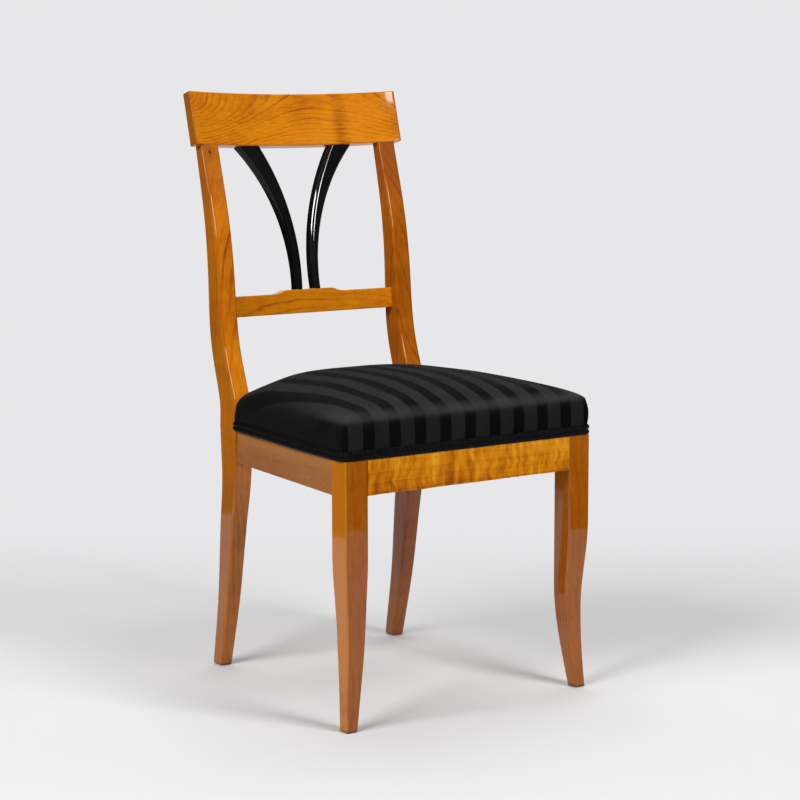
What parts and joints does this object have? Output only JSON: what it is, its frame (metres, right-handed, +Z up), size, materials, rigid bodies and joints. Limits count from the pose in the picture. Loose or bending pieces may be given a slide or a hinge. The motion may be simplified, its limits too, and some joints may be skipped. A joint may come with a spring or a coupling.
{
  "type": "dining chair",
  "caption": "Side chair with sabre legs, a raked hollow crest rail, black curved splats over a stay rail and a sprung, stuffed-over striped seat.",
  "frame": {"origin": "on the floor, under the middle of the chair's bounding box", "axes": "+Z up, -Y towards the chair's front, +X to the right of someone facing the chair"},
  "size_m": [0.4434, 0.5059, 0.8894],
  "materials": {
    "cherry": "clear gloss varnish over straight-grained cherry",
    "cherry_veneer": "clear gloss varnish over figured cherry veneer",
    "frame_wood": "sawn, unfinished",
    "ebonised_wood": "black stained and polished",
    "steel": "dull, slightly darkened",
    "webbing": "woven jute",
    "hessian": "plain coarse weave",
    "hair": "curled hair",
    "striped_cloth": "black cloth with satin and matte stripes",
    "braid": "black woven braid"
  },
  "bodies": {
    "root": {"back_seat_rail": "cherry", "braid_back": "braid", "braid_front_and_sides": "braid", "corner_block_screws": "steel", "cover_tacks": "steel", "crest_rail": "cherry", "front_corner_block_left": "frame_wood", "front_corner_block_right": "frame_wood", "front_leg_left": "cherry", "front_leg_right": "cherry", "front_rail_veneer": "cherry_veneer", "front_seat_rail": "frame_wood", "hair_stuffing": "hair", "rear_corner_block_left": "frame_wood", "rear_corner_block_right": "frame_wood", "rear_stile_left": "cherry", "rear_stile_right": "cherry", "seat_cover": "striped_cloth", "seat_springs": "steel", "side_seat_rail_left": "cherry", "side_seat_rail_right": "cherry", "splat_left": "ebonised_wood", "splat_right": "ebonised_wood", "spring_hessian": "hessian", "stay_rail": "cherry", "webbing_front_to_back": "webbing", "webbing_side_to_side": "webbing", "webbing_tacks": "steel"}
  },
  "joints": []
}
